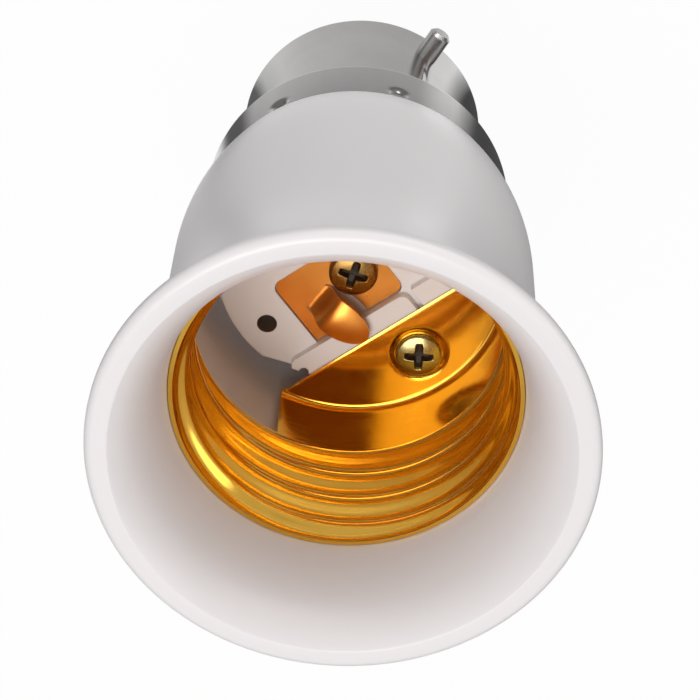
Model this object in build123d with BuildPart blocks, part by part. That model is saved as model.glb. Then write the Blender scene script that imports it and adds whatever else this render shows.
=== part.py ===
"""Lamp socket adapter: a two-pin bayonet cap below, an Edison screw socket above.

The part stands on its two end contacts with the mouth of the bell up. Z runs along the
lamp axis, X runs along the straight edge of the shell's end plate, and Y points from the
axis to the screw that holds the shell. All sizes are in millimetres.
"""
from build123d import *
from math import cos, radians, sin
import os

os.makedirs("parts", exist_ok=True)

# Bayonet cap, drawn from sheet
barrel_radius = 10.95
barrel_length = 15.3
cap_step = 2.3
skirt_length = 6.1
cap_sheet = 0.3
cap_bend = 0.3
end_roll = 0.3
end_lip = 2.35
dimple_radius = 0.5
dimple_depth = 0.3
dimple_drop = 1.3
dimple_angles = (38.8, 84.0, 218.8, 264.0)

# Bayonet pins
pin_radius = 1.0
pin_reach = 2.65
pin_height = 4.3
pin_angle = 22.0
pin_flange_radius = 1.4
pin_flange = 0.5
pin_edge = 0.3

# Cap insulator, end contacts and leads
insulator_thickness = 2.4
contact_proud = 0.5
contact_spacing = 9.2
contact_head_radius = 2.1
contact_shank_radius = 1.1
contact_tail = 0.6
lead_radius = 0.7

# Outer body
body_wall = 1.25
shoulder_overhang = 0.35
shoulder_height = 9.0
shoulder_edge = 0.4
flare_length = 22.0
flare_mid_depth = 8.0
flare_mid_swell = 1.5
rim_width = 1.75
rim_lip = 1.1
rim_edge = 0.6
mouth_swell = 3.6
funnel_depth = 9.1
throat_slope = 6.0
throat_pull = 4.5
mouth_slope = 48.0
mouth_pull = 2.5
rim_slope = 30.0
neck_wall = 2.85
floor_thickness = 2.1
foot_gap = 1.35
foot_height = 4.0

# Screw shell, rolled and folded from brass sheet
shell_sheet = 0.35
shell_depth = 19.4
sleeve_length = 13.0
run_out = 0.6
band_swell = 0.2
lip_length = 1.2
shell_inner_radius = 12.775
thread_height = 0.475
shell_fold = 0.3
chord_distance = 5.72
dish_radius = 2.4
dish_floor_radius = 2.15
dish_depth = 0.75

# Contact block
block_gap = 1.275
block_height = 4.5
flat_distance = 10.4
flat_angle = 37.0
ledge_inset = 0.7
ledge_rise = 0.75
ledge_corner = 0.75
ledge_end = -2.5
groove_width = 0.65
notch_radius = 0.42
notch_distance = 5.33
guide_hole_radius = 0.85
guide_hole_distance = 9.05
guide_hole_depth = 3.0
pocket_left = -2.62
pocket_right = 6.62
pocket_back = -2.75
pocket_front = 3.92
pocket_corner = 0.9

# Centre contact, cut and bent from copper strip
strip = 0.5
strip_sink = 0.2
tongue_root_x = 4.04
tongue_root_y = 0.26
tongue_heading = 108.0
tongue_width = 3.3
tongue_reach = 5.4
tongue_tail = 1.0
tongue_rise = 2.05
tongue_bend = 0.9
tongue_slit = 0.2

# Screws and the brass terminals that they bite into
screw_radius = 1.25
contact_screw_head = 2.05
shell_screw_head = 1.97
head_height = 1.15
head_dome = 0.4
cross_width = 0.7
cross_length = 2.5
cross_depth = 0.75
shell_screw_distance = 9.2
shell_screw_shift = -0.3
terminal_radius = 2.1
terminal_length = 4.6
terminal_grip = 0.6

# Fits
slip = 0.1
snug = 0.02
loose = 0.15

# Heights, added up from the end contacts
z_cap_end = contact_proud
z_insulator = z_cap_end + cap_sheet
z_insulator_top = z_insulator + insulator_thickness
z_pin = z_cap_end + pin_height
z_step = z_cap_end + barrel_length
z_neck = z_step + cap_sheet
z_skirt_top = z_step + skirt_length
z_shoulder = z_skirt_top + slip
z_floor = z_shoulder + floor_thickness
z_terminal = z_floor - terminal_length
z_plateau = z_floor + block_height
z_strip = z_plateau - strip_sink
z_pocket = z_strip - strip
z_ledge = z_plateau + ledge_rise
z_plate = z_ledge + shell_sheet
z_lip = z_plate + shell_depth
z_sleeve = z_lip - sleeve_length
z_throat = z_lip - slip
z_rim = z_throat + funnel_depth

# Radii that follow from the fits
barrel_inner_radius = barrel_radius - cap_sheet
end_opening_radius = barrel_radius - end_lip
pin_tip_radius = barrel_radius + pin_reach
skirt_radius = barrel_radius + cap_step
skirt_inner_radius = skirt_radius - cap_sheet
neck_radius = skirt_inner_radius - slip
cavity_radius = neck_radius - neck_wall
shoulder_radius = skirt_radius + shoulder_overhang
shell_outer_radius = shell_inner_radius + shell_sheet
lip_inner_radius = shell_inner_radius + thread_height
lip_outer_radius = shell_outer_radius + thread_height
band_inner_radius = shell_inner_radius + band_swell
band_outer_radius = band_inner_radius + shell_sheet
bore_radius = lip_outer_radius + loose
body_radius = bore_radius + body_wall
flare_mid_radius = body_radius + flare_mid_swell
mouth_radius = bore_radius + mouth_swell
rim_radius = mouth_radius + rim_width
block_radius = shell_inner_radius - block_gap
ledge_radius = block_radius - ledge_inset
screw_hole_radius = screw_radius + loose
terminal_bore_radius = screw_radius + snug
z_screw_tip = z_terminal + terminal_grip
z_dimple = z_skirt_top - dimple_drop
contact_angle = pin_angle + 90.0
shell_screw_place = (shell_screw_shift, shell_screw_distance)
tongue_root = Location((tongue_root_x, tongue_root_y), tongue_heading)


def around(radius, angle, z=0.0):
    """A point at this distance from the lamp axis."""
    return (radius * cos(radians(angle)), radius * sin(radians(angle)), z)


def slope(angle):
    """A direction in the profile that leans out from the axis by this angle."""
    return (sin(radians(angle)), cos(radians(angle)))


def dimple_plane(angle):
    """The plane that touches the skirt where a crimp dimple is pressed in."""
    return Plane(origin=around(skirt_radius, angle, z_dimple), z_dir=around(1.0, angle))


def pocket_outline(gap):
    """The pocket in plan, less this gap all round; its corner under the ledge is sharp."""
    with BuildSketch() as outline:
        with Locations(((pocket_left + pocket_right) / 2, (pocket_back + pocket_front) / 2)):
            Rectangle(pocket_right - pocket_left - 2 * gap, pocket_front - pocket_back - 2 * gap)
        corners = outline.vertices().sort_by(Axis((0, 0, 0), (1, 1, 0)))
        fillet(corners[:-1], pocket_corner - gap)
    return outline.sketch


def corner_flats():
    """The two corners that are cut off the block beside the ends of the shell's band."""
    with BuildSketch() as corners:
        with Locations(Location((0, 0), flat_angle), Location((0, 0), 180.0 - flat_angle)):
            with Locations((flat_distance, 0)):
                Rectangle(block_radius, 2 * block_radius, align=(Align.MIN, Align.CENTER))
    return corners.sketch


def tongue_outline(gap):
    """The oval leaf of the spring tongue in plan, widened by this gap."""
    half_length = (tongue_reach + tongue_tail) / 2
    with BuildSketch() as outline:
        with Locations(tongue_root * Pos(tongue_reach - half_length, 0)):
            Ellipse(half_length + gap, tongue_width / 2 + gap)
    return outline.sketch


def slit_outline():
    """The opening that is cut in the strip to free the tongue, up to its root."""
    oval = tongue_outline(tongue_slit)
    with BuildSketch() as outline:
        add(oval)
        with Locations(tongue_root):
            Rectangle(2 * tongue_reach, 2 * tongue_reach, align=(Align.MAX, Align.CENTER), mode=Mode.SUBTRACT)
    return outline.sketch


def finish(builder, name):
    """Label a finished piece and write it out."""
    builder.part.label = name
    export_step(builder.part, f"parts/{name}.step")


# Outer body: a moulded bell with a floor, a hollow neck and a flared mouth
throat = Vector(bore_radius, z_throat)
mouth = Vector(mouth_radius, z_rim)
with BuildPart() as outer_body:
    with BuildSketch(Plane.XZ):
        with BuildLine():
            shoulder = TangentArc(
                (body_radius, z_shoulder + shoulder_height),
                (shoulder_radius, z_shoulder + shoulder_edge),
                tangent=(0, -1),
            )
            Polyline(
                shoulder @ 1,
                (shoulder_radius - shoulder_edge, z_shoulder),
                (neck_radius, z_shoulder),
                (neck_radius, z_neck),
                (cavity_radius, z_neck),
                (cavity_radius, z_shoulder),
                (0, z_shoulder),
                (0, z_floor),
                (block_radius + foot_gap, z_floor),
                (bore_radius, z_floor + foot_height),
                throat,
            )
            funnel = Bezier(
                throat,
                throat + throat_pull * Vector(slope(throat_slope)),
                mouth - mouth_pull * Vector(slope(mouth_slope)),
                mouth,
            )
            rim = Polyline(
                funnel @ 1,
                (rim_radius - rim_edge, z_rim),
                (rim_radius, z_rim - rim_edge),
                (rim_radius, z_rim - rim_lip),
            )
            flare = Spline(
                (body_radius, z_rim - flare_length),
                (flare_mid_radius, z_rim - flare_mid_depth),
                rim @ 1,
                tangents=(slope(0), slope(rim_slope)),
            )
            Line(shoulder @ 0, flare @ 0)
        make_face()
    revolve(axis=Axis.Z)
    with BuildSketch(Plane.XY.offset(z_neck)):
        with Locations((0, 0), shell_screw_place):
            Circle(terminal_radius + snug)
    extrude(amount=z_floor - z_neck, mode=Mode.SUBTRACT)
    for angle in dimple_angles:
        with BuildSketch(dimple_plane(angle)):
            Circle(dimple_radius + cap_sheet / 2 + slip)
        extrude(amount=-(dimple_depth + cap_sheet + slip), mode=Mode.SUBTRACT)
finish(outer_body, "outer_body")

# Contact block: a round white block with a raised ledge and a pocket for the strip
pocket = pocket_outline(0.0)
flats = corner_flats()
with BuildPart() as contact_block:
    with BuildSketch(Plane.XY.offset(z_floor)):
        Circle(block_radius)
        add(flats, mode=Mode.SUBTRACT)
    extrude(amount=block_height)
    with BuildSketch(Plane.XY.offset(z_plateau)) as ledge:
        Circle(ledge_radius)
        with Locations((0, pocket_front)):
            Rectangle(2 * block_radius, 2 * block_radius, align=(Align.CENTER, Align.MAX), mode=Mode.SUBTRACT)
        with Locations((ledge_end, pocket_front)):
            Rectangle(
                groove_width,
                chord_distance - pocket_front + groove_width,
                align=(Align.MAX, Align.MIN),
                mode=Mode.SUBTRACT,
            )
        front_corners = ledge.vertices().group_by(Axis.Y)[0].sort_by(Axis.X)
        fillet(front_corners[-2:], ledge_corner)
        add(flats, mode=Mode.SUBTRACT)
        notch_x = (flat_distance - notch_distance * sin(radians(flat_angle))) / cos(radians(flat_angle))
        with Locations((notch_x, notch_distance)):
            Circle(notch_radius, mode=Mode.SUBTRACT)
    extrude(amount=ledge_rise)
    with BuildSketch(Plane.XY.offset(z_pocket)):
        add(pocket)
    extrude(amount=z_ledge - z_pocket, mode=Mode.SUBTRACT)
    with BuildSketch(Plane.XY.offset(z_ledge)):
        with Locations(shell_screw_place):
            Circle(dish_radius + shell_sheet + loose)
    extrude(amount=-(dish_depth + slip), mode=Mode.SUBTRACT)
    with BuildSketch(Plane.XY.offset(z_floor)):
        with Locations((0, 0), shell_screw_place):
            Circle(screw_hole_radius)
    extrude(amount=z_ledge - z_floor, mode=Mode.SUBTRACT)
    with BuildSketch(Plane.XY.offset(z_plateau)):
        with Locations((guide_hole_distance, 0)):
            Circle(guide_hole_radius)
    extrude(amount=-guide_hole_depth, mode=Mode.SUBTRACT)
finish(contact_block, "contact_block")

# Screw shell: a rolled sleeve, half of it running on into a band and a folded end plate
with BuildPart() as screw_shell:
    with BuildSketch(Plane.XZ):
        with BuildLine():
            Polyline(
                (0, z_ledge),
                (band_outer_radius - shell_fold, z_ledge),
                (band_outer_radius, z_ledge + shell_fold),
                (band_outer_radius, z_sleeve),
                (shell_outer_radius, z_sleeve + run_out),
                (shell_outer_radius, z_lip - lip_length),
                (lip_outer_radius, z_lip),
                (lip_inner_radius, z_lip),
                (shell_inner_radius, z_lip - lip_length),
                (shell_inner_radius, z_sleeve + run_out),
                (band_inner_radius, z_sleeve),
                (band_inner_radius, z_plate + shell_fold),
                (band_inner_radius - shell_fold, z_plate),
                (0, z_plate),
                close=True,
            )
        make_face()
    revolve(axis=Axis.Z)
    with BuildSketch(Plane.XY.offset(z_ledge)):
        with Locations((0, chord_distance)):
            Rectangle(4 * shell_outer_radius, 4 * shell_outer_radius, align=(Align.CENTER, Align.MAX))
    extrude(amount=z_sleeve - z_ledge, mode=Mode.SUBTRACT)
    with BuildSketch(Plane.XY.offset(z_ledge)):
        with Locations(shell_screw_place):
            Circle(dish_radius)
    extrude(amount=shell_sheet, mode=Mode.SUBTRACT)
    with BuildSketch(Plane(origin=shell_screw_place, x_dir=(1, 0, 0), z_dir=(0, -1, 0))):
        with BuildLine():
            Polyline(
                (dish_radius + shell_sheet, z_plate),
                (dish_radius, z_plate),
                (dish_floor_radius, z_plate - dish_depth + shell_sheet),
                (screw_hole_radius, z_plate - dish_depth + shell_sheet),
                (screw_hole_radius, z_plate - dish_depth),
                (dish_floor_radius + shell_sheet, z_plate - dish_depth),
                (dish_radius + shell_sheet, z_ledge),
                close=True,
            )
        make_face()
    revolve(axis=Axis((*shell_screw_place, 0), (0, 0, 1)))
finish(screw_shell, "screw_shell")

# Centre contact: a copper strip in the pocket with an oval spring tongue cut free and bent up
leaf = tongue_outline(0.0)
slit = slit_outline()
blank = pocket_outline(slip)
tongue_side = Plane(
    origin=(tongue_root_x, tongue_root_y, z_pocket),
    x_dir=around(1.0, tongue_heading),
    z_dir=around(1.0, tongue_heading - 90.0),
)
with BuildPart() as centre_contact:
    with BuildSketch(tongue_side):
        with BuildLine():
            FilletPolyline(
                (-tongue_tail, strip / 2),
                (tongue_slit, strip / 2),
                (0.58 * tongue_reach, strip / 2 + 0.88 * tongue_rise),
                (tongue_reach, strip / 2 + tongue_rise),
                radius=tongue_bend,
            )
        trace(line_width=strip)
    extrude(amount=tongue_width / 2, both=True)
    with BuildSketch(Plane.XY.offset(z_pocket)):
        add(leaf)
    extrude(amount=tongue_rise + 2 * strip, mode=Mode.INTERSECT)
    with BuildSketch(Plane.XY.offset(z_pocket)):
        add(blank)
        add(slit, mode=Mode.SUBTRACT)
        Circle(screw_hole_radius, mode=Mode.SUBTRACT)
    extrude(amount=strip)
finish(centre_contact, "centre_contact")


def screw(name, place, z_seat, head_radius):
    """A domed cross-head screw whose head seats at this height."""
    with BuildPart() as body:
        with BuildSketch(Plane.XY.offset(z_seat)):
            with Locations(place):
                Circle(head_radius)
        extrude(amount=head_height)
        chamfer(body.edges().filter_by(GeomType.CIRCLE).group_by(Axis.Z)[-1], head_dome, 2 * head_dome)
        with BuildSketch(Plane.XY.offset(z_seat + head_height)):
            with Locations(place):
                Rectangle(cross_length, cross_width)
                Rectangle(cross_width, cross_length)
        extrude(amount=-cross_depth, mode=Mode.SUBTRACT)
        with BuildSketch(Plane.XY.offset(z_screw_tip)):
            with Locations(place):
                Circle(screw_radius)
        extrude(amount=z_seat - z_screw_tip)
    finish(body, name)


# The two screws that clamp the strip and the shell onto the block
screw("contact_screw", (0, 0), z_strip, contact_screw_head)
screw("shell_screw", shell_screw_place, z_plate - dish_depth + shell_sheet, shell_screw_head)


def terminal(name, place):
    """A round brass terminal pressed into the floor of the body."""
    with BuildPart() as bush:
        with BuildSketch(Plane.XY.offset(z_terminal)):
            with Locations(place):
                Circle(terminal_radius)
                Circle(terminal_bore_radius, mode=Mode.SUBTRACT)
        extrude(amount=terminal_length)
    finish(bush, name)


terminal("contact_terminal", (0, 0))
terminal("shell_terminal", shell_screw_place)

# Bayonet cap: a drawn sheet cup with a turned-in end, a step and a crimped skirt
with BuildPart() as bayonet_cap:
    with BuildSketch(Plane.XZ):
        with BuildLine():
            Polyline(
                (end_opening_radius, z_cap_end),
                (barrel_radius - end_roll, z_cap_end),
                (barrel_radius, z_cap_end + end_roll),
                (barrel_radius, z_step),
                (skirt_radius - cap_bend, z_step),
                (skirt_radius, z_step + cap_bend),
                (skirt_radius, z_skirt_top),
                (skirt_inner_radius, z_skirt_top),
                (skirt_inner_radius, z_neck),
                (barrel_inner_radius, z_neck),
                (barrel_inner_radius, z_insulator),
                (end_opening_radius, z_insulator),
                close=True,
            )
        make_face()
    revolve(axis=Axis.Z)
    for angle in dimple_angles:
        with BuildSketch(dimple_plane(angle).offset(-cap_sheet / 2)):
            Circle(dimple_radius + cap_sheet / 2)
        extrude(amount=-(dimple_depth + cap_sheet / 2))
        with BuildSketch(dimple_plane(angle).offset(cap_sheet)):
            Circle(dimple_radius)
        extrude(amount=-(dimple_depth + cap_sheet), mode=Mode.SUBTRACT)
    with BuildSketch(Plane(origin=(0, 0, z_pin), z_dir=around(1.0, pin_angle))):
        Circle(pin_radius + snug)
    extrude(amount=2 * barrel_radius, both=True, mode=Mode.SUBTRACT)
finish(bayonet_cap, "bayonet_cap")


def bayonet_pin(name, angle):
    """A pin with a flange inside the barrel and its end chamfered outside."""
    with BuildPart() as pin:
        flange_plane = Plane(
            origin=around(barrel_inner_radius - pin_flange, angle, z_pin), z_dir=around(1.0, angle)
        )
        with BuildSketch(flange_plane):
            Circle(pin_flange_radius)
        extrude(amount=2 * pin_flange)
        with BuildSketch(Plane.XY):
            Circle(barrel_inner_radius)
        extrude(amount=2 * z_pin, mode=Mode.INTERSECT)
        with BuildSketch(flange_plane):
            Circle(pin_radius)
        extrude(amount=pin_tip_radius - barrel_inner_radius + pin_flange)
        tip = pin.edges().filter_by(GeomType.CIRCLE).sort_by(Axis((0, 0, 0), around(1.0, angle)))[-1]
        chamfer(tip, pin_edge)
    finish(pin, name)


bayonet_pin("bayonet_pin_a", pin_angle)
bayonet_pin("bayonet_pin_b", pin_angle + 180.0)

# Cap insulator: a moulded disc held by the rolled end of the cap
contact_points = (
    around(contact_spacing / 2, contact_angle),
    around(contact_spacing / 2, contact_angle + 180.0),
)
with BuildPart() as cap_insulator:
    with BuildSketch(Plane.XY.offset(z_insulator)):
        Circle(barrel_inner_radius - slip)
    extrude(amount=insulator_thickness)
    with BuildSketch(Plane.XY.offset(z_insulator)):
        with Locations(*contact_points):
            Circle(contact_shank_radius + snug)
    extrude(amount=insulator_thickness, mode=Mode.SUBTRACT)
finish(cap_insulator, "cap_insulator")

z_contact_tail = z_insulator_top + contact_tail


def end_contact(name, point):
    """A flat-headed rivet through the insulator."""
    with BuildPart() as rivet:
        with BuildSketch():
            with Locations(point):
                Circle(contact_head_radius)
        extrude(amount=z_insulator)
        chamfer(rivet.edges().group_by(Axis.Z)[0], contact_proud / 2)
        with BuildSketch():
            with Locations(point):
                Circle(contact_shank_radius)
        extrude(amount=z_contact_tail)
    finish(rivet, name)


end_contact("end_contact_a", contact_points[0])
end_contact("end_contact_b", contact_points[1])


def lead_wire(name, start, end):
    """A wire drawn straight from the tail of an end contact to the foot of a terminal."""
    with BuildPart() as wire:
        with BuildLine() as route:
            Line((start[0], start[1], z_contact_tail), (end[0], end[1], z_terminal))
        with BuildSketch(Plane((start[0], start[1], z_contact_tail))):
            Circle(lead_radius)
        sweep(path=route.line)
    finish(wire, name)


lead_wire(
    "lead_wire_shell",
    contact_points[0],
    (shell_screw_shift, shell_screw_distance - terminal_radius + lead_radius + loose),
)
lead_wire("lead_wire_centre", contact_points[1], (0, (screw_radius + terminal_radius) / 2))
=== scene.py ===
from math import asin, cos, degrees, hypot, pi, radians, sin, sqrt, tan
import bpy
import numpy as np
from mathutils import Matrix, Vector


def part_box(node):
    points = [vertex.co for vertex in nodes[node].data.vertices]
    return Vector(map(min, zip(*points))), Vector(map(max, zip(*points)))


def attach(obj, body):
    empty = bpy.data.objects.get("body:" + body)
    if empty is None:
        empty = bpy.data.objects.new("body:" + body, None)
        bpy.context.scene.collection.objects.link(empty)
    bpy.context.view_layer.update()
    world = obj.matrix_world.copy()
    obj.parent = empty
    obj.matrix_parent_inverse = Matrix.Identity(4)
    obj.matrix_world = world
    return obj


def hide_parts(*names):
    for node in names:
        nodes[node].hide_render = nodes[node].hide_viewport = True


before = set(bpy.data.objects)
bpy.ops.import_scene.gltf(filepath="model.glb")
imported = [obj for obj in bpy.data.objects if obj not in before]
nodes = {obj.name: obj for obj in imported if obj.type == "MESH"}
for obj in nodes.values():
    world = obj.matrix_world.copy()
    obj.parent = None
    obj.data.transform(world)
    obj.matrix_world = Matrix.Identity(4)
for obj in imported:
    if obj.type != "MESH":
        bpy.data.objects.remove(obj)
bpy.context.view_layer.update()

MM = 0.001


# Sizes in millimetres, from the frame where it has them

def corners(node):
    """A CAD node's lowest and highest corner."""
    return [[round(c / MM, 3) for c in corner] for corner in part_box(node)]


body_low, body_high = corners("outer_body")
cap_low, cap_high = corners("bayonet_cap")
shell_low, shell_high = corners("screw_shell")
strip_low, strip_high = corners("centre_contact")
screw_low, screw_high = corners("contact_screw")

# Fits
SLIP = 0.1

# Bayonet cap
CAP_SHEET = 0.3
R_BARREL, R_SKIRT, R_CAP_END = 10.95, cap_high[0], 8.6
Z_CAP, Z_SKIRT = cap_low[2], cap_high[2]
DIMPLES = [radians(a) for a in (38.8, 84.0, 218.8, 264.0)]
DIMPLE_DEPTH, DIMPLE_SIZE, DIMPLE_DROP = 0.4, 0.6, 1.3
END_ROUND, STEP_ROUND, SKIRT_ROUND = 0.45, 0.5, 0.7
INNER_SKIRT_ROUND, INNER_ROUND = 0.4, 0.8
PINS = [radians(a) for a in (22.0, 202.0)]
LINE_DEPTH, LINE_WIDTH = 0.05, 0.12
Z_LINE = (5.5, 15.2)

# Outer body
R_RIM, Z_RIM, Z_NECK = body_high[0], body_high[2], body_low[2]
R_BORE, BODY_WALL, RIM_WIDTH, RIM_LIP = 13.75, 1.25, 1.75, 1.1
R_BODY, R_MOUTH = R_BORE + BODY_WALL, R_RIM - RIM_WIDTH
R_SEAT, R_NECK, R_NECK_BORE, R_FOOT = 13.5, 12.85, 10.0, 12.85
Z_STEP, Z_SHOULDER, Z_FLOOR = Z_NECK - CAP_SHEET, Z_SKIRT + SLIP, corners("contact_block")[0][2]
FLARE, FOOT = 22.0, 4.0
FLARE_PULLS, FUNNEL_PULLS = [(R_BODY, 45.0), (16.9, 51.5)], [(14.22, 53.48), (15.49, 56.43)]
SEAT_ROUND, RIM_ROUND, MOUTH_ROUND = 0.35, 0.75, 0.18
Z_ARC, ARC_DROP, ARC_INSET, ARC_END = 31.0, 8.6, 1.4, 8.4

# Screw shell
SHEET, FOLD = 0.35, 0.42
R_SHELL, BAND_SWELL, SLEEVE = 12.775, 0.2, 13.0
R_BAND = R_SHELL + BAND_SWELL
PITCH, CREST, THREAD_START = 3.629, 0.475, radians(320.0)
RUN_OUT, LIP_RUN, THREAD_EASE, CURL, CURL_RUN = 1.4, 1.5, 0.2, 0.1, 0.5
CHORD, SHEAR_DROP, SHEAR_WIDTH = 5.72, 0.06, 0.28
SCREW_X, SCREW_Y = -0.3, 9.2
DISH_DEPTH, R_DISH, DISH_WALL = 0.4, 2.55, 0.4
Z_LIP = shell_high[2]
Z_SLEEVE, Z_PLATE = Z_LIP - SLEEVE, shell_low[2] + DISH_DEPTH + SHEET

# Screws
HEAD_HEIGHT, SHANK, Z_TIP = 1.15, 1.25, screw_low[2]
CROWN, CROWN_POWER = 0.30, 2.5
ARM_HALF, ARM_TAPER, ARM_REACH, ARM_RUN, ARM_WALL = 0.40, 0.07, 1.32, 0.5, 0.14
RECESS_DEPTH, RECESS_SLOPE, PAINTED_SHADE_DEPTH = 0.85, 0.28, 0.2
CONTACT_TURN, PLATE_TURN = radians(37), radians(52)

# Centre contact
STRIP, STRIP_CORNER, STRIP_FRONT = 0.5, 0.8, 3.82
Z_STRIP = strip_low[2] + STRIP
ROOT, HEADING = Vector((4.04, 0.26)), radians(108.0)
REACH, TAIL, WIDTH, SLIT, SLIT_END = 5.4, 1.0, 3.3, 0.2, 5.2
RISE, BEND, ARCH_RUN, DROOP, DOME = 2.05, 1.5, 3.0, 0.04, 0.08
LEAF_SHEET, LEAF_LIFT, LEAF_TUCK, LEAF_TAPER, LEAF_TIP = 0.45, 0.004, 0.3, 0.97, 0.01

# The guide hole in the contact block, whose upright wall gets painted shade
GUIDE, GUIDE_REACH, UPRIGHT = (9.05, 0.0), 0.95, 0.2


# Materials

def new_material(name):
    material = bpy.data.materials.new(name)
    material.use_nodes = True
    tree = material.node_tree
    return material, tree, tree.nodes["Principled BSDF"]


def add(tree, kind, **inputs):
    node = tree.nodes.new(kind)
    for key, value in inputs.items():
        node.inputs[key.replace("_", " ")].default_value = value
    return node


def coords(tree, scale=(1, 1, 1)):
    place = tree.nodes.new("ShaderNodeTexCoord")
    mapping = add(tree, "ShaderNodeMapping", Scale=scale)
    tree.links.new(place.outputs["Object"], mapping.inputs["Vector"])
    return mapping.outputs["Vector"]


def noise(tree, vector, scale, detail, rough=0.55):
    node = add(tree, "ShaderNodeTexNoise", Scale=scale, Detail=detail, Roughness=rough)
    tree.links.new(vector, node.inputs["Vector"])
    return node.outputs["Fac"]


def ramp(tree, fac, stops):
    """Colours along a value; the first and last stop are the ramp's own two elements."""
    node = tree.nodes.new("ShaderNodeValToRGB")
    elements = node.color_ramp.elements
    elements[0].position, elements[1].position = stops[0][0], stops[-1][0]
    elements[0].color, elements[1].color = (*stops[0][1], 1), (*stops[-1][1], 1)
    for position, colour in stops[1:-1]:
        elements.new(position).color = (*colour, 1)
    tree.links.new(fac, node.inputs["Fac"])
    return node.outputs["Color"]


def to_range(tree, fac, low, high, start=0.3, end=0.7):
    node = add(tree, "ShaderNodeMapRange", From_Min=start, From_Max=end, To_Min=low, To_Max=high)
    tree.links.new(fac, node.inputs["Value"])
    return node.outputs["Result"]


def math_node(tree, kind, a, b, clamp=False):
    """One arithmetic step on two sockets or numbers."""
    node = tree.nodes.new("ShaderNodeMath")
    node.operation = kind
    node.use_clamp = clamp
    for socket, value in zip(node.inputs, (a, b)):
        if isinstance(value, (int, float)):
            socket.default_value = value
        else:
            tree.links.new(value, socket)
    return node.outputs[0]


def rounded_edge(tree, radius):
    """Normals that shade sharp edges as if they were rounded by this radius."""
    bevel = add(tree, "ShaderNodeBevel", Radius=radius * MM)
    bevel.samples = 6
    return bevel.outputs["Normal"]


def plastic(name, pale, deep, rough, edge=0.0, spread=0.02):
    material, tree, shader = new_material(name)
    cloud = noise(tree, coords(tree), scale=90.0, detail=3.0)
    tree.links.new(ramp(tree, cloud, [(0.15, deep), (0.85, pale)]), shader.inputs["Base Color"])
    gloss = to_range(tree, cloud, rough - spread, rough + spread, 0.1, 0.9)
    tree.links.new(gloss, shader.inputs["Roughness"])
    shader.inputs["IOR"].default_value = 1.5
    if edge:
        tree.links.new(rounded_edge(tree, edge), shader.inputs["Normal"])
    return material


def metal(name, bright, dull, rough, streak=(1, 1, 1), scale=400.0, spread=0.06, dent=0.01, edge=0.0):
    """Clouded colour under fine marks of this depth; streak draws the marks out along an axis."""
    material, tree, shader = new_material(name)
    shader.inputs["Metallic"].default_value = 1.0
    marks = noise(tree, coords(tree, streak), scale, detail=5.0, rough=0.6)
    cloud = noise(tree, coords(tree), scale=140.0, detail=3.0)
    tree.links.new(ramp(tree, cloud, [(0.3, dull), (0.7, bright)]), shader.inputs["Base Color"])
    tree.links.new(to_range(tree, marks, rough - spread, rough + spread), shader.inputs["Roughness"])
    relief = add(tree, "ShaderNodeBump", Strength=0.25, Distance=dent * MM)
    tree.links.new(marks, relief.inputs["Height"])
    if edge:
        tree.links.new(rounded_edge(tree, edge), relief.inputs["Normal"])
    tree.links.new(relief.outputs["Normal"], shader.inputs["Normal"])
    return material


white_body = plastic("white_body", (0.852, 0.832, 0.84), (0.842, 0.822, 0.83), rough=0.3)
# The contact block's plastic is paler and warmer than the bell's: partly a whiter plastic, partly painted
# light standing in for the stronger, brass-tinted light on it
white_block = plastic("white_block", (0.92, 0.885, 0.87), (0.90, 0.865, 0.85), rough=0.38, edge=0.18)
insulator = plastic("insulator_plastic", (0.70, 0.68, 0.63), (0.64, 0.62, 0.58), rough=0.5, edge=0.15)
lead = plastic("lead_sleeve", (0.55, 0.08, 0.06), (0.48, 0.06, 0.05), rough=0.45)
brass = metal("shell_brass", (0.92, 0.54, 0.085), (0.86, 0.47, 0.06), rough=0.13,
              streak=(1, 1, 6), scale=500.0, spread=0.04)
copper = metal("contact_copper", (0.82, 0.35, 0.075), (0.66, 0.25, 0.045), rough=0.3,
               scale=300.0, spread=0.03, dent=0.002)
bronze = metal("bronze_screw", (0.36, 0.21, 0.06), (0.2, 0.10, 0.03), rough=0.27, scale=900.0, spread=0.07)
zinc = metal("yellow_screw", (0.50, 0.44, 0.20), (0.34, 0.29, 0.11), rough=0.25, scale=900.0, spread=0.07)
terminal = metal("terminal_brass", (0.78, 0.56, 0.2), (0.68, 0.45, 0.14), rough=0.3, edge=0.1)
nickel = metal("cap_nickel", (0.52, 0.51, 0.505), (0.46, 0.45, 0.445), rough=0.19,
               streak=(1, 1, 0.03), scale=900.0, spread=0.04, dent=0.003)
pin_metal = metal("pin_nickel", (0.56, 0.55, 0.54), (0.48, 0.47, 0.46), rough=0.32,
                  scale=300.0, dent=0.001, edge=0.1)
# Near-black plastic for the deep faces of the screws' cross recesses: painted shade, not the screws' own
# colour
recess_painted_shade = plastic("recess_painted_shade", (0.05, 0.03, 0.012), (0.03, 0.018, 0.008), rough=0.6)
# Dark brown for the guide hole's wall in the white block: painted shade, tinted like brass-reflected light
guide_hole_painted_shade = plastic("guide_hole_painted_shade", (0.26, 0.17, 0.11), (0.2, 0.13, 0.08), rough=0.6)
tinned = metal("end_contact_metal", (0.66, 0.64, 0.60), (0.56, 0.54, 0.50), rough=0.35, edge=0.2)


# Shapes

def piece(name, verts, faces, material, stands_for, sharp=None):
    mesh = bpy.data.meshes.new(name)
    mesh.from_pydata([tuple(c * MM for c in v) for v in verts], [], faces)
    mesh.update()
    mesh.shade_smooth()
    if sharp:
        mesh.set_sharp_from_angle(angle=radians(sharp))
    ob = bpy.data.objects.new(name, mesh)
    bpy.context.scene.collection.objects.link(ob)
    mesh.materials.append(material)
    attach(ob, "root")
    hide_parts(stands_for)
    return ob


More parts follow.
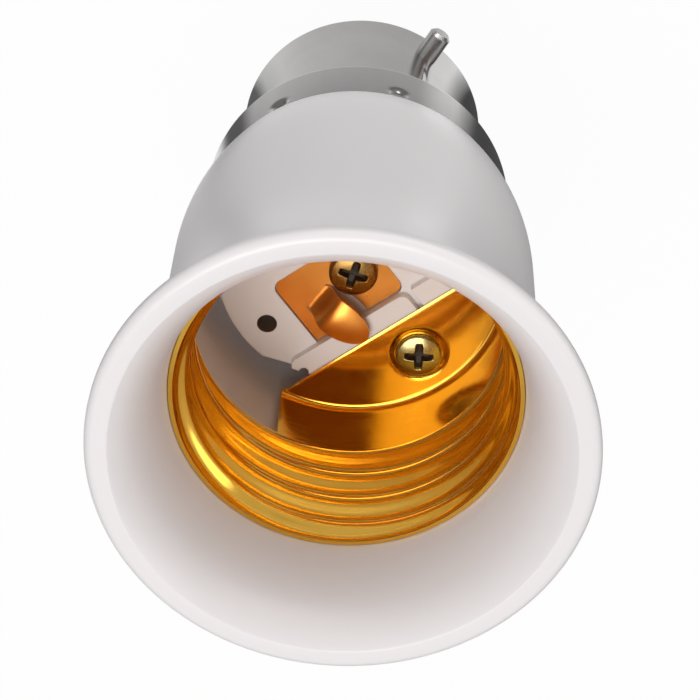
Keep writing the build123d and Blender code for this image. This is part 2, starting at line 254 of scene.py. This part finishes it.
def rounded(points, radii, step=15.0):
    """A profile with its corners rounded; each radius is for the point of the same place."""
    out = []
    last = len(points) - 1
    for i, (point, radius) in enumerate(zip(points, radii)):
        point = np.array(point, float)
        if radius == 0 or i in (0, last):
            out.append(tuple(point))
            continue
        a = np.array(points[i - 1], float) - point
        b = np.array(points[i + 1], float) - point
        a /= np.linalg.norm(a)
        b /= np.linalg.norm(b)
        half_angle = 0.5 * np.arccos(np.clip(a @ b, -1, 1))
        reach = radius / tan(half_angle)
        centre = point + (a + b) / np.linalg.norm(a + b) * (radius / sin(half_angle))
        start = point + a * reach - centre
        end = point + b * reach - centre
        turn = np.arctan2(start[0] * end[1] - start[1] * end[0], start @ end)
        count = max(2, int(abs(degrees(turn)) / step) + 1)
        for t in np.linspace(0, turn, count + 1):
            x = centre[0] + start[0] * cos(t) - start[1] * sin(t)
            y = centre[1] + start[0] * sin(t) + start[1] * cos(t)
            out.append((x, y))
    return out


def bezier(points, count=24):
    """A cubic curve from the first of four points to the last."""
    t = np.linspace(0, 1, count + 1)[:, None]
    a, b, c, d = (np.array(p, float) for p in points)
    curve = (1 - t) ** 3 * a + 3 * (1 - t) ** 2 * t * b + 3 * (1 - t) * t ** 2 * c + t ** 3 * d
    return [tuple(p) for p in curve]


def dense(profile, step=0.16):
    """More points along the straight runs of a profile."""
    out = [profile[0]]
    for p, q in zip(profile, profile[1:]):
        count = max(1, int(hypot(q[0] - p[0], q[1] - p[1]) / step))
        for j in range(1, count + 1):
            out.append((p[0] + (q[0] - p[0]) * j / count, p[1] + (q[1] - p[1]) * j / count))
    return out


def lathe(profile, segs, shift=None):
    """Turn a profile of (radius, height) about the lamp axis; shift moves points in or out."""
    verts, faces, rows = [], [], []
    for r, z in profile:
        if r == 0:
            rows.append([len(verts)] * segs)
            verts.append((0, 0, z))
            continue
        row = []
        for i in range(segs):
            a = 2 * pi * i / segs
            moved = r + (shift(r, z, a) if shift else 0)
            row.append(len(verts))
            verts.append((moved * cos(a), moved * sin(a), z))
        rows.append(row)
    for p, q in zip(rows, rows[1:]):
        for i in range(segs):
            j = (i + 1) % segs
            face = [p[i], p[j], q[j], q[i]]
            faces.append([v for k, v in enumerate(face) if v != face[k - 1]])
    return verts, faces


def smooth(x):
    x = np.clip(x, 0, 1)
    return x * x * (3 - 2 * x)


def apart(a, b):
    """The angle from b to a, between -pi and pi."""
    return (a - b + pi) % (2 * pi) - pi


# Outer body: the bell with its rounded rim and shoulder
outside = bezier([(R_BODY, Z_RIM - FLARE), *FLARE_PULLS, (R_RIM, Z_RIM - RIM_LIP)])
inside = bezier([(R_BORE, Z_LIP - SLIP), *FUNNEL_PULLS, (R_MOUTH, Z_RIM)])
arc_radius = (ARC_DROP ** 2 + ARC_INSET ** 2) / (2 * ARC_INSET)
arc_turns = np.linspace(0, asin(ARC_END / arc_radius), 18)
shoulder = [(R_BODY - arc_radius * (1 - cos(t)), Z_ARC - arc_radius * sin(t)) for t in arc_turns]
neck = rounded(
    [shoulder[-1], (R_SEAT, Z_SHOULDER), (R_NECK, Z_SHOULDER), (R_NECK, Z_NECK), (R_NECK_BORE, Z_NECK),
     (R_NECK_BORE, Z_SHOULDER), (0, Z_SHOULDER)],
    [0, SEAT_ROUND, 0, 0, 0, 0, 0])
rim = rounded([outside[-1], (R_RIM, Z_RIM), (R_MOUTH, Z_RIM), inside[-2]],
              [0, RIM_ROUND, MOUTH_ROUND, 0])
foot = [(R_BORE, Z_FLOOR + FOOT), (R_FOOT, Z_FLOOR), (0, Z_FLOOR)]
bell = neck[::-1] + shoulder[::-1][1:] + outside + rim[1:-1] + inside[:-1][::-1] + foot
verts, faces = lathe(bell, 256)
piece("bell_body", verts, faces, white_body, "outer_body", sharp=40)


# Bayonet cap: drawn cup with rolled end, step, crimp dimples and a fine line above each pin
def cap_shift(r, z, a):
    """Dimples go through the skirt's sheet; the lines are on the barrel's outside only."""
    d = 0.0
    if z > Z_STEP and r > (R_BARREL + R_SKIRT) / 2:
        for t in DIMPLES:
            across = hypot(apart(a, t) * R_SKIRT, z - (Z_SKIRT - DIMPLE_DROP))
            d -= DIMPLE_DEPTH * np.exp(-(across / DIMPLE_SIZE) ** 3)
    if Z_LINE[0] < z < Z_LINE[1] and r > R_BARREL - CAP_SHEET / 2:
        for t in PINS:
            d -= LINE_DEPTH * np.exp(-(apart(a, t) * R_BARREL / LINE_WIDTH) ** 2)
    return d


cap_out = rounded(
    [(R_CAP_END, Z_CAP), (R_BARREL, Z_CAP), (R_BARREL, Z_STEP), (R_SKIRT, Z_STEP), (R_SKIRT, Z_SKIRT)],
    [0, END_ROUND, STEP_ROUND, SKIRT_ROUND, 0])
cap_in = rounded(
    [(R_SKIRT - CAP_SHEET, Z_SKIRT), (R_SKIRT - CAP_SHEET, Z_NECK), (R_BARREL - CAP_SHEET, Z_NECK),
     (R_BARREL - CAP_SHEET, Z_CAP + CAP_SHEET), (R_CAP_END, Z_CAP + CAP_SHEET)],
    [0, INNER_SKIRT_ROUND, INNER_ROUND, INNER_ROUND, 0])
verts, faces = lathe(dense(cap_out) + cap_in + [(R_CAP_END, Z_CAP)], 420, cap_shift)
piece("cap_cup", verts, faces, nickel, "bayonet_cap", sharp=40)


# Screw shell: rolled thread, band, fold and end plate with its dish
def thread_r(t, z):
    fade = smooth((z - (Z_SLEEVE + THREAD_EASE)) / RUN_OUT)
    mean = R_BAND + (R_SHELL - R_BAND) * fade
    lip = smooth((z - (Z_LIP - LIP_RUN - THREAD_EASE)) / LIP_RUN)
    curl = CURL * smooth((z - (Z_LIP - CURL_RUN)) / CURL_RUN)
    wave = np.cos(2 * pi * (z - Z_LIP) / PITCH - (t - THREAD_START))
    return mean + CREST * (fade * (1 - lip) * wave + lip) + curl


def plate_z(x, y):
    """The end plate's height: flat, pressed in at the dish and turned down along its sheared edge."""
    dish = DISH_DEPTH * smooth((R_DISH - hypot(x - SCREW_X, y - SCREW_Y)) / DISH_WALL)
    sheared = SHEAR_DROP * max(0.0, 1 - (y - CHORD) / SHEAR_WIDTH) ** 2
    return Z_PLATE - dish - sheared


BAND_STEPS, REST_STEPS = 131, 241
SLEEVE_ROWS, STRIP_ROWS, FOLD_ROWS, PLATE_ROWS = 105, 10, 9, 48
corner = asin(CHORD / R_BAND)
band_turns = np.linspace(corner, pi - corner, BAND_STEPS)
theta = np.concatenate([band_turns, np.linspace(pi - corner, 2 * pi + corner, REST_STEPS)[1:-1]])
verts, faces = [], []


def add_row(points, last, closed):
    """Add a row of points and join it to the one before."""
    start = len(verts)
    verts.extend(points)
    row = list(range(start, len(verts)))
    if last:
        n = len(row)
        for i in range(n if closed else n - 1):
            j = (i + 1) % n
            faces.append((last[i], last[j], row[j], row[i]))
    return row


row = None
for z in np.linspace(Z_LIP, Z_SLEEVE, SLEEVE_ROWS):
    row = add_row([(thread_r(t, z) * cos(t), thread_r(t, z) * sin(t), z) for t in theta], row, True)
row = row[:BAND_STEPS]
strip = [(R_BAND, z) for z in np.linspace(Z_SLEEVE, Z_PLATE + FOLD, STRIP_ROWS)[1:]]
for a in np.linspace(0, pi / 2, FOLD_ROWS)[1:]:
    strip.append((R_BAND - FOLD * (1 - cos(a)), Z_PLATE + FOLD - FOLD * sin(a)))
for r, z in strip:
    row = add_row([(r * cos(t), r * sin(t), z) for t in band_turns], row, False)
r_plate = R_BAND - FOLD
for k in range(1, PLATE_ROWS + 1):
    points = []
    for t in band_turns:
        r = r_plate + (min(CHORD / sin(t), r_plate) - r_plate) * k / PLATE_ROWS
        x, y = r * cos(t), r * sin(t)
        points.append((x, y, plate_z(x, y)))
    row = add_row(points, row, False)
shell = piece("threaded_shell", verts, faces, brass, "screw_shell")
sheet = shell.modifiers.new("sheet", "SOLIDIFY")
sheet.thickness = SHEET * MM
sheet.offset = -1.0
sheet.use_even_offset = False
shell.modifiers.new("sheared edges", "EDGE_SPLIT").split_angle = radians(50)


# Screws: pan heads with a tapered cross recess, whose deep faces carry painted shade
def screw_piece(name, x0, y0, z_seat, head, turn, material, stands_for, segs=160):
    ca, sa = cos(turn), sin(turn)
    top = z_seat + HEAD_HEIGHT

    def recess(x, y):
        u, w = x * ca + y * sa, -x * sa + y * ca
        deep = 0.0
        for a, b in ((abs(u), abs(w)), (abs(w), abs(u))):
            width = ARM_HALF - ARM_TAPER * a
            arm = smooth((ARM_REACH - a) / ARM_RUN) * smooth((width - b) / ARM_WALL)
            deep = max(deep, arm * (RECESS_DEPTH - RECESS_SLOPE * a))
        return deep

    def circle(r, height):
        """A row of points about the screw's axis, at heights that may change along it."""
        row = []
        for i in range(segs):
            x, y = r * cos(2 * pi * i / segs), r * sin(2 * pi * i / segs)
            row.append(len(verts))
            verts.append((x0 + x, y0 + y, height(x, y)))
        return row

    verts = [(x0, y0, top - recess(0, 0))]
    rows = []
    for r in [*np.linspace(0, 1.45, 44)[1:], *np.linspace(1.52, 1.84, 5)]:
        crown = top - CROWN * (r / head) ** CROWN_POWER
        rows.append(circle(r, lambda x, y: crown - recess(x, y)))
    edge = [(head - 0.04, top - 0.36), (head, top - 0.46), (head, z_seat + 0.12), (head - 0.1, z_seat)]
    for r, z in edge + [(SHANK, z_seat), (SHANK, Z_TIP), (0.01, Z_TIP)]:
        rows.append(circle(r, lambda x, y: z))
    faces = [(0, rows[0][i], rows[0][(i + 1) % segs]) for i in range(segs)]
    for p, q in zip(rows, rows[1:]):
        faces += [(p[i], q[i], q[(i + 1) % segs], p[(i + 1) % segs]) for i in range(segs)]
    ob = piece(name, verts, faces, material, stands_for, sharp=60)
    # Faces deep in the cross recess get the near-black material: painted shade
    ob.data.materials.append(recess_painted_shade)
    for poly in ob.data.polygons:
        x, y, z = poly.center / MM
        if recess(x - x0, y - y0) > PAINTED_SHADE_DEPTH and z > z_seat:
            poly.material_index = 1


screw_piece("cross_screw", 0, 0, screw_high[2] - HEAD_HEIGHT, screw_high[0], CONTACT_TURN,
            bronze, "contact_screw")
screw_piece("plate_screw", SCREW_X, SCREW_Y, Z_PLATE - DISH_DEPTH, corners("shell_screw")[1][0] - SCREW_X,
            PLATE_TURN, zinc, "shell_screw")

# Centre contact: the strip in its pocket and the domed oval tongue
half = (REACH + TAIL) / 2
along = Vector((cos(HEADING), sin(HEADING)))
across = Vector((-along.y, along.x))


def leaf_half(s, gap=0.0):
    """Half the tongue's width at this distance from its root, or of the slit round it."""
    return (WIDTH / 2 + gap) * sqrt(max(0.0, 1 - ((s - REACH + half) / (half + gap)) ** 2))


def leaf_point(s, t):
    p = ROOT + along * s + across * t
    return p.x, p.y


def leaf_z(s, t):
    """The tongue's upper face: a bend at the root, an arch along it and a low dome across."""
    arch = RISE * (1 - max(0.0, 1 - s / ARCH_RUN) ** 3) * smooth(s / BEND)
    arch -= DROOP * max(0.0, s - ARCH_RUN) ** 2
    return Z_STRIP + LEAF_LIFT + arch - DOME * smooth(s / BEND) * t * t


x_low, y_low, x_high = strip_low[0], strip_low[1], strip_high[0]
blank = rounded(
    [(x_high, 0), (x_high, y_low), (x_low, y_low), (x_low, STRIP_FRONT), (0.0, STRIP_FRONT)],
    [0, STRIP_CORNER, STRIP_CORNER, STRIP_CORNER, 0], 10.0)
slit = [leaf_point(s, leaf_half(s, SLIT)) for s in np.linspace(SLIT_END, 0, 60)]
slit += [leaf_point(s, -leaf_half(s, SLIT)) for s in np.linspace(0, SLIT_END, 60)]
slit = [p for p in slit if p[1] < STRIP_FRONT]
outline = blank + [(slit[0][0], STRIP_FRONT)] + slit + [(slit[-1][0], STRIP_FRONT), (x_high, STRIP_FRONT)]
n = len(outline)
verts = [(x, y, Z_STRIP) for x, y in outline] + [(x, y, Z_STRIP - STRIP) for x, y in outline]
faces = [tuple(range(n)), tuple(range(2 * n - 1, n - 1, -1))]
faces += [(i, i + n, (i + 1) % n + n, (i + 1) % n) for i in range(n)]

leaf_s = -LEAF_TUCK + (REACH + LEAF_TUCK) * np.sin(np.linspace(0, pi / 2, 61))
leaf_t = np.sin(np.linspace(-pi / 2, pi / 2, 33))
base = len(verts)
for lower in (0, 1):
    for s in leaf_s:
        w = max(leaf_half(s), LEAF_TIP)
        for t in leaf_t:
            x, y = leaf_point(s, w * t * (LEAF_TAPER if lower else 1))
            verts.append((x, y, leaf_z(s, w * t) - LEAF_SHEET * lower))
rows, columns = len(leaf_s), len(leaf_t)


def at(layer, i, j):
    return base + layer * rows * columns + i * columns + j


for i in range(rows - 1):
    for j in range(columns - 1):
        faces.append((at(0, i, j), at(0, i + 1, j), at(0, i + 1, j + 1), at(0, i, j + 1)))
        faces.append((at(1, i, j), at(1, i, j + 1), at(1, i + 1, j + 1), at(1, i + 1, j)))
for i in range(rows - 1):
    j = columns - 1
    faces.append((at(0, i, 0), at(1, i, 0), at(1, i + 1, 0), at(0, i + 1, 0)))
    faces.append((at(0, i, j), at(0, i + 1, j), at(1, i + 1, j), at(1, i, j)))
piece("contact_leaf", verts, faces, copper, "centre_contact", sharp=40)

# CAD nodes that show as they are
for name, material in {
    "contact_block": white_block, "contact_terminal": terminal, "shell_terminal": terminal,
    "bayonet_pin_a": pin_metal, "bayonet_pin_b": pin_metal, "cap_insulator": insulator,
    "end_contact_a": tinned, "end_contact_b": tinned, "lead_wire_centre": lead, "lead_wire_shell": lead,
}.items():
    mesh = nodes[name].data
    mesh.materials.clear()
    mesh.materials.append(material)

# The upright faces of the guide hole get the dark brown: painted shade
mesh = nodes["contact_block"].data
mesh.materials.append(guide_hole_painted_shade)
for poly in mesh.polygons:
    x, y, z = poly.center / MM
    if abs(poly.normal.z) < UPRIGHT and hypot(x - GUIDE[0], y - GUIDE[1]) < GUIDE_REACH:
        poly.material_index = 1

# Floor, in metres: white to the camera; seen in polished metal, its glow is painted with dark bands by
# direction and a brighter ring round the object: painted reflections
FLOOR_SIDE = 3.0
FLOOR_WHITE, CAMERA_SHARE, GLOSSY_SHARE, TRANSMISSION_SHARE = 1.03, 0.93, 0.85, 0.5
RING_NEAR, RING_FAR, RING_BRIGHT, RING_DIM = 0.018, 0.03, 1.2, 0.3
PAINTED_REFLECTION_BANDS = [(179, 1.0), (190, 1.0), (202, 0.6), (223, 0.62), (252, 0.68), (284, 0.78), (297, 0.6),
         (305, 0.1), (318, 0.08), (327, 1.0), (345, 0.9), (45, 0.7), (120, 0.05), (164, 0.05), (172, 0.5)]
mesh = bpy.data.meshes.new("floor")
mesh.from_pydata([(FLOOR_SIDE * x, FLOOR_SIDE * y, 0) for x, y in ((-1, -1), (1, -1), (1, 1), (-1, 1))],
                 [], [(0, 1, 2, 3)])
floor = bpy.data.objects.new("floor", mesh)
bpy.context.scene.collection.objects.link(floor)
material, tree, shader = new_material("floor_white")
shader.inputs["Base Color"].default_value = (0.5, 0.5, 0.505, 1)
shader.inputs["Roughness"].default_value = 0.8
shader.inputs["Specular IOR Level"].default_value = 0.1

spot = tree.nodes.new("ShaderNodeNewGeometry").outputs["Position"]
where = tree.nodes.new("ShaderNodeSeparateXYZ")
tree.links.new(spot, where.inputs["Vector"])
turn = math_node(tree, "ARCTAN2", where.outputs["Y"], where.outputs["X"])
turn = to_range(tree, turn, 0.0, 1.0, -pi, pi)
# Darker and lighter bands by direction round the axis, seen only in reflections: painted reflections
painted_bands = ramp(tree, turn, sorted((((az + 180) % 360) / 360, (g, g, g)) for az, g in PAINTED_REFLECTION_BANDS))
distance = tree.nodes.new("ShaderNodeVectorMath")
distance.operation = "LENGTH"
tree.links.new(spot, distance.inputs[0])
# A brighter glow close to the object that fades outwards, seen only in reflections: painted reflection
painted_ring = to_range(tree, distance.outputs["Value"], RING_BRIGHT, RING_DIM, RING_NEAR, RING_FAR)

path = tree.nodes.new("ShaderNodeLightPath")
seen = math_node(tree, "ADD", math_node(tree, "MULTIPLY", path.outputs["Is Camera Ray"], CAMERA_SHARE),
                 math_node(tree, "MULTIPLY", path.outputs["Is Glossy Ray"], GLOSSY_SHARE), clamp=True)
through = math_node(tree, "MULTIPLY", path.outputs["Is Transmission Ray"], TRANSMISSION_SHARE)
seen = math_node(tree, "ADD", seen, through, clamp=True)
glow = tree.nodes.new("ShaderNodeEmission")
strength = tree.nodes.new("ShaderNodeMix")
strength.inputs[2].default_value = FLOOR_WHITE
tree.links.new(path.outputs["Is Glossy Ray"], strength.inputs[0])
tree.links.new(painted_ring, strength.inputs[3])
tree.links.new(strength.outputs[0], glow.inputs["Strength"])
tone = tree.nodes.new("ShaderNodeMix")
tone.data_type = "RGBA"
tone.inputs[6].default_value = (1, 1, 1, 1)
tree.links.new(path.outputs["Is Glossy Ray"], tone.inputs[0])
tree.links.new(painted_bands, tone.inputs[7])
tree.links.new(tone.outputs[2], glow.inputs["Color"])
mix = tree.nodes.new("ShaderNodeMixShader")
tree.links.new(seen, mix.inputs["Fac"])
tree.links.new(shader.outputs["BSDF"], mix.inputs[1])
tree.links.new(glow.outputs["Emission"], mix.inputs[2])
tree.links.new(mix.outputs["Shader"], tree.nodes["Material Output"].inputs["Surface"])
mesh.materials.append(material)

# World: a light tent, dim near the horizon and dark brown in the hole that the camera looks through
TENT_DIM, TENT_BRIGHT, TENT_FROM, TENT_TO = 0.2, 0.59, 0.12, 0.38
HOLE_AZIMUTH, HOLE_HEIGHT, HOLE_REACH, HOLE_SOFT = radians(203), radians(62), 26, 3
world = bpy.data.worlds.new("studio")
bpy.context.scene.world = world
world.use_nodes = True
tree = world.node_tree
back = tree.nodes["Background"]
way = tree.nodes.new("ShaderNodeTexCoord").outputs["Generated"]
split = tree.nodes.new("ShaderNodeSeparateXYZ")
tree.links.new(way, split.inputs["Vector"])
tent = to_range(tree, split.outputs["Z"], TENT_DIM, TENT_BRIGHT, TENT_FROM, TENT_TO)
path = tree.nodes.new("ShaderNodeLightPath")
light = math_node(tree, "MAXIMUM", tent, path.outputs["Is Camera Ray"])
tree.links.new(light, back.inputs["Strength"])


def direction(azimuth, height):
    return Vector((cos(height) * cos(azimuth), cos(height) * sin(azimuth), sin(height)))


hole = tree.nodes.new("ShaderNodeVectorMath")
hole.operation = "DOT_PRODUCT"
hole.inputs[1].default_value = direction(HOLE_AZIMUTH, HOLE_HEIGHT)
tree.links.new(way, hole.inputs[0])
outer, inner = cos(radians(HOLE_REACH + HOLE_SOFT)), cos(radians(HOLE_REACH - HOLE_SOFT))
lens = to_range(tree, hole.outputs["Value"], 0.0, 1.0, outer, inner)
tent_colour = ramp(tree, lens, [(0, (1.0, 0.985, 0.985)), (1, (0.22, 0.10, 0.06))])
tree.links.new(tent_colour, back.inputs["Color"])

# Lights, in metres and watts
LIGHT_CENTRE, LIGHT_DISTANCE = Vector((0, 0, 0.035)), 0.55


def soft_box(name, azimuth, height, size, power):
    """A soft light that looks at the object from this side and angle."""
    way = direction(radians(azimuth), radians(height))
    lamp = bpy.data.lights.new(name, "AREA")
    lamp.shape = "RECTANGLE"
    lamp.size, lamp.size_y = size
    lamp.energy = power
    ob = bpy.data.objects.new(name, lamp)
    ob.location = LIGHT_CENTRE + way * LIGHT_DISTANCE
    ob.visible_camera = False
    ob.rotation_euler = (-way).to_track_quat("-Z", "Y").to_euler()
    bpy.context.scene.collection.objects.link(ob)


soft_box("box_top", 320, 82, (0.3, 0.3), 1.38)
soft_box("box_left", 300, 58, (0.55, 0.16), 0.15)
soft_box("box_front", 215, 4, (0.75, 0.1), 1.15)
soft_box("box_right", 148, 28, (0.3, 0.12), 0.2)

# Camera, fitted to the photograph, in metres
CAMERA_AT = Vector((-0.05992, -0.07564, 0.20517))
CAMERA_RIGHT, CAMERA_AHEAD = Vector((-0.8139, 0.5803, -0.0293)), Vector((0.3153, 0.3988, -0.8611))
cam = bpy.data.cameras.new("camera")
cam.sensor_fit = "HORIZONTAL"
cam.sensor_width = 36.0
cam.lens = 123.19
cam.clip_start = 0.01
camera = bpy.data.objects.new("camera", cam)
ahead = CAMERA_AHEAD.normalized()
up = CAMERA_RIGHT.normalized().cross(ahead).normalized()
place = Matrix((ahead.cross(up), up, -ahead)).transposed().to_4x4()
place.translation = CAMERA_AT
camera.matrix_world = place
bpy.context.scene.collection.objects.link(camera)
bpy.context.scene.camera = camera

bpy.context.scene.view_settings.view_transform = "Standard"
